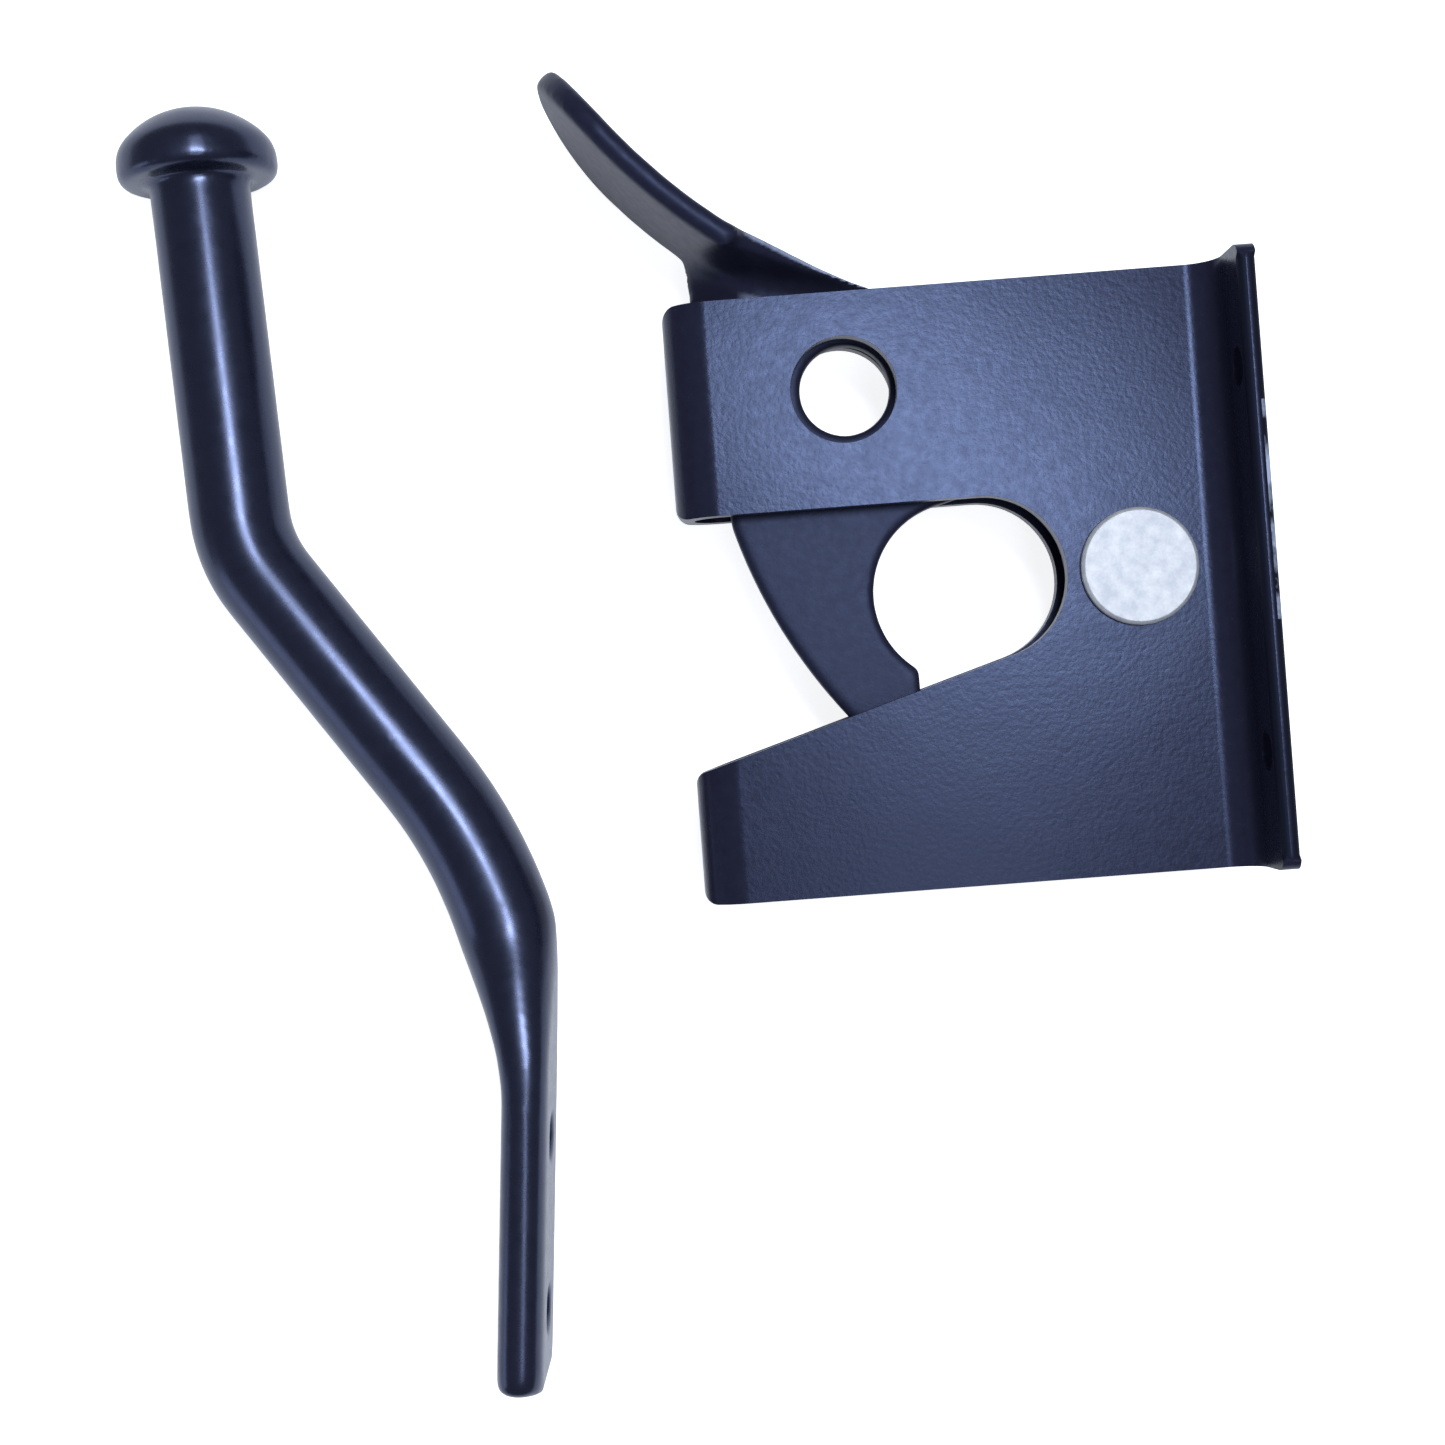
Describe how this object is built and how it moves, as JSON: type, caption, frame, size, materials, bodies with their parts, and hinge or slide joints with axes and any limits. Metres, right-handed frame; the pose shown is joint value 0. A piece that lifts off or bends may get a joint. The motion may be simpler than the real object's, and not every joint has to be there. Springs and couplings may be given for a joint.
{
  "type": "gate latch with strike bar",
  "caption": "Black gravity gate latch: folded steel case, drop arm with thumb paddle on a rivet, and the bent round strike bar with button head that it catches.",
  "frame": {"origin": "centre of the post screw pattern on the mounting face, in the middle of the case's depth", "axes": "+X out of the mounting face towards the post, +Y up as the latch is mounted, +Z up from the table it lies on, square to the side plates"},
  "size_m": [0.1391, 0.1663, 0.0346],
  "materials": {
    "black_powder_coat": "satin powder coat with fine orange peel",
    "black_gloss_coat": "semi-gloss powder coat",
    "zinc_plate": "bright zinc plating, mottled"
  },
  "bodies": {
    "case_and_bar": {"latch_case": "black_powder_coat", "pivot_rivet": "zinc_plate", "strike_bar": "black_gloss_coat"},
    "pawl": {"pawl": "black_powder_coat"}
  },
  "joints": [
    {"name": "pawl_pivot", "type": "hinge", "parent": "case_and_bar", "child": "pawl", "pos_m": [-0.0142, 0.0006, 0], "axis": [0, 0, -1], "range_deg": [0, 50]}
  ]
}
